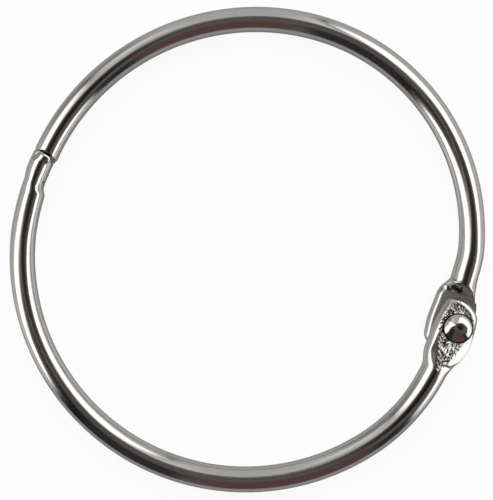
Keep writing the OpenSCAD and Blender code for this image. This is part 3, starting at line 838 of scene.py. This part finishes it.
# The tent's patches: an outline of azimuths and zenith distances, the width over which its edge
# fades, both in degrees, and its radiance. Later ones are painted over earlier ones.
PATCHES = (
    # Softboxes, which fade towards the floor
    ([(70, 10), (76, 20), (77, 58), (60, 68), (40, 73), (20, 75), (0, 80), (348, 86), (334, 88),
      (322, 86), (324, 70), (336, 62), (350, 45), (0, 20)], 20, (3.2, 3.2, 3.2)),
    ([(134, 8), (134, 50), (146, 56), (160, 54), (170, 62), (180, 74), (192, 81), (207, 80),
      (207, 50), (180, 10)], 11, (3.2, 3.2, 3.2)),
    # Bright and dull places of the back wall
    ([(114, 36), (130, 36), (130, 58), (114, 58)], 14, (1.5, 1.5, 1.5)),
    ([(122, 66), (134, 58), (148, 66), (148, 94), (118, 94)], 14, (0.5, 0.5, 0.5)),
    # Grey ceiling, and the dark front of the room
    ([(354, 62), (8, 52), (20, 44), (44, 35), (56, 30), (64, 25), (74, 19), (90, 22), (120, 20),
      (134, 11), (150, 15), (160, 19), (168, 26), (176, 31), (184, 38), (192, 46), (200, 52),
      (207, 64), (211, 96), (250, 110), (280, 112), (310, 108), (317, 96), (320, 66), (336, 64)],
     7, (0.21, 0.2, 0.2)),
    ([(140, 0), (156, 14), (168, 21), (178, 27), (188, 36), (200, 44), (210, 60), (214, 20),
      (220, 6)], 7, (0.2, 0.15, 0.155)),
    ([(300, 10), (320, 30), (340, 36), (0, 36), (24, 30), (50, 22), (72, 14), (100, 6)],
     16, (0.05, 0.045, 0.045)),
    ([(208, 26), (230, 24), (247, 30), (249, 100), (211, 100)], 8, (0.06, 0.055, 0.06)),
    ([(247, 30), (270, 26), (303, 34), (303, 92), (280, 104), (256, 92)], 10, (0.21, 0.115, 0.115)),
    ([(302, 50), (318, 50), (318, 96), (302, 96)], 7, (0.05, 0.05, 0.06)),
    # Black seams of the cloth, and the edges of the softboxes
    ([(0, 0), (300, 20), (318, 27), (344, 26)], 9, (0.015, 0.015, 0.018)),
    ([(158, 10), (176, 12), (190, 18), (204, 24), (216, 40), (221, 92), (216, 92), (210, 50),
      (200, 33), (190, 27), (176, 18), (158, 15)], 5, (0.02, 0.018, 0.02)),
    ([(79, 13), (80.5, 40), (79, 86), (77, 86), (77, 40), (73, 13)], 2.4, (0.12, 0.12, 0.12)),
    ([(130, 12), (131, 40), (134, 78), (136, 78), (134.5, 40), (136, 12)], 2.4, (0.12, 0.12, 0.12)),
)
WALL = (0.93, 0.93, 0.93)


def direction(azimuth, zenith):
    """A unit vector; azimuth is from the view's right, anticlockwise, and zenith from upright."""
    a, t = np.radians(azimuth) + TURN, np.radians(zenith)
    return np.stack([np.sin(t) * np.cos(a), np.sin(t) * np.sin(a), np.cos(t)], -1)


def plan(azimuth, zenith):
    """A direction's place on the tent's plan: as far from its middle as from the zenith."""
    a = np.radians(azimuth)
    return np.stack([zenith * np.cos(a), zenith * np.sin(a)], -1)


def tent():
    """A dome of painted cloth round the ring, which only reflections see."""
    around = 240
    azimuth, zenith = np.meshgrid(np.arange(around) * 360 / around, np.linspace(0.05, 93.8, 76))
    spot = plan(azimuth.T.ravel(), zenith.T.ravel())
    paint = np.broadcast_to(np.array(WALL), (len(spot), 3)).copy()
    for outline, fade, colour in PATCHES:
        corners = np.array(outline, float)
        share = smooth(inside_by(plan(corners[:, 0], corners[:, 1]), spot) / fade + 0.5)
        paint = lerp(paint, np.array(colour), share[:, None])
    paint = paint.reshape(around, -1, 3).transpose(1, 0, 2).reshape(-1, 3)
    mesh = bpy.data.meshes.new("tent")
    mesh.from_pydata((direction(azimuth, zenith) * TENT_R).reshape(-1, 3).tolist(), [],
                     tube_faces(len(zenith), around)[:-1])
    mesh.attributes.new("paint", "FLOAT_COLOR", "POINT").data.foreach_set(
        "color", np.concatenate([paint, np.ones((len(paint), 1))], 1).ravel().astype(np.float32))
    material = bpy.data.materials.new("lit_cloth")
    tree = bare_tree(material)
    colour = add(tree, "ShaderNodeAttribute", attribute_name="paint").outputs["Color"]
    light = add(tree, "ShaderNodeEmission", {"Color": colour, "Strength": 1.0})
    add(tree, "ShaderNodeOutputMaterial", {"Surface": light.outputs["Emission"]})
    mesh.materials.append(material)
    made = placed("tent", mesh)
    made.visible_camera = made.visible_diffuse = made.visible_shadow = False
    made.visible_transmission = made.visible_volume_scatter = False


def reflected(tree):
    """1 for what the camera sees and for what metal or glass shows of it, 0 for plain light."""
    path = add(tree, "ShaderNodeLightPath")
    seen = add(tree, "ShaderNodeMath", {0: path.outputs["Is Camera Ray"],
                                        1: path.outputs["Is Glossy Ray"]}, operation="MAXIMUM")
    return add(tree, "ShaderNodeMath", {0: seen.outputs[0], 1: path.outputs["Is Transmission Ray"]},
               operation="MAXIMUM").outputs[0]


def studio():
    """The tent, a white world, soft lamps that only light the floor, and a white floor."""
    tent()
    world = bpy.data.worlds.new("studio")
    bpy.context.scene.world = world
    tree = bare_tree(world)
    strength = add(tree, "ShaderNodeMapRange", {"Value": reflected(tree), "To Min": 0.3,
                                                "To Max": 1.0})
    sky = add(tree, "ShaderNodeBackground", {"Color": (1, 1, 1, 1),
                                             "Strength": strength.outputs["Result"]})
    add(tree, "ShaderNodeOutputWorld", {"Surface": sky.outputs["Background"]})

    for name, azimuth, zenith, watts in (("lamp_left", 165, 55, 3.4), ("lamp_right", 35, 55, 3.4),
                                         ("lamp_back", 90, 73, 6)):
        data = bpy.data.lights.new(name, "AREA")
        data.shape, data.size, data.energy = "SQUARE", 0.7, watts
        lamp = placed(name, data)
        aim = Vector(direction(azimuth, zenith).tolist())
        lamp.location = aim * TENT_R
        lamp.rotation_euler = aim.to_track_quat("Z", "Y").to_euler()
        lamp.visible_glossy = lamp.visible_camera = False

    mesh = bpy.data.meshes.new("floor")
    far = 40.0
    mesh.from_pydata([(-far, -far, 0), (far, -far, 0), (far, far, 0), (-far, far, 0)], [],
                     [(0, 1, 2, 3)])
    floor = placed("floor", mesh)
    material = bpy.data.materials.new("white_floor")
    tree = bare_tree(material)
    path = add(tree, "ShaderNodeLightPath")
    paint = add(tree, "ShaderNodeBsdfDiffuse", {"Color": linear("#F7F7F7")})
    tone = add(tree, "ShaderNodeMapRange", {"Value": path.outputs["Is Camera Ray"], "To Min": 0.8,
                                            "To Max": 1.0})
    backlit = add(tree, "ShaderNodeEmission", {"Color": (1, 1, 1, 1),
                                               "Strength": tone.outputs["Result"]})
    most = add(tree, "ShaderNodeMapRange", {"Value": path.outputs["Is Camera Ray"], "To Min": 0.3,
                                            "To Max": 0.92})
    share = add(tree, "ShaderNodeMath", {0: reflected(tree), 1: most.outputs["Result"]},
                operation="MULTIPLY")
    both = add(tree, "ShaderNodeMixShader", {0: share.outputs[0], 1: paint.outputs["BSDF"],
                                             2: backlit.outputs["Emission"]})
    gloss = add(tree, "ShaderNodeBsdfGlossy", {"Color": (1, 1, 1, 1), "Roughness": 0.12})
    slant = add(tree, "ShaderNodeFresnel", {"IOR": 1.5})
    sheen = add(tree, "ShaderNodeMath", {0: slant.outputs[0], 1: path.outputs["Is Glossy Ray"]},
                operation="MULTIPLY")
    laid = add(tree, "ShaderNodeMixShader", {0: sheen.outputs[0], 1: both.outputs["Shader"],
                                             2: gloss.outputs["BSDF"]})
    add(tree, "ShaderNodeOutputMaterial", {"Surface": laid.outputs["Shader"]})
    mesh.materials.append(material)


def camera():
    """A long lens nearly straight above the ring, turned so that the hinge is lower right."""
    right = Vector((math.cos(TURN), math.sin(TURN), 0))
    up = Vector((-math.sin(TURN), math.cos(TURN), 0))
    back = right * LEAN_RIGHT - up * LEAN_DOWN
    back.z = math.sqrt(1 - back.length_squared)
    data = bpy.data.cameras.new("camera")
    data.sensor_fit, data.sensor_width = "HORIZONTAL", SENSOR
    data.lens = FOCAL_PX / FRAME_PX * SENSOR
    data.clip_start, data.clip_end = 0.01, 100
    made = placed("camera", data)
    right = (right - back * right.dot(back)).normalized()
    turn = Matrix((right, back.cross(right), back)).transposed()
    stand = (Vector(LOOK_AT) + back * VIEW_FROM) * MM
    made.matrix_world = Matrix.Translation(stand) @ turn.to_4x4()
    bpy.context.scene.camera = made


camera()
studio()
tongue_metal = bright_nickel("bright_nickel_tongue_half", NICKEL, True)
socket_metal = bright_nickel("bright_nickel_socket_half", NICKEL, True)
rivet_metal = bright_nickel("bright_nickel_rivet", NICKEL, False)
for piece, body, metal, slot, node in (
        (tongue_half(), "tongue_half", tongue_metal, "tongue_half_nickel", "tongue_half_ring"),
        (latch_tongue(), "tongue_half", tongue_metal, "tongue_half_nickel", "tongue_half_ring"),
        (socket_half(), "socket_half", socket_metal, "socket_half_nickel", "socket_half_ring"),
        (rivet(), "tongue_half", rivet_metal, "rivet_nickel", "hinge_rivet")):
    piece.data.materials.clear()
    piece.data.materials.append(metal)
    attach(piece, body)
    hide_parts(node)

bpy.context.scene.view_settings.view_transform = "Standard"
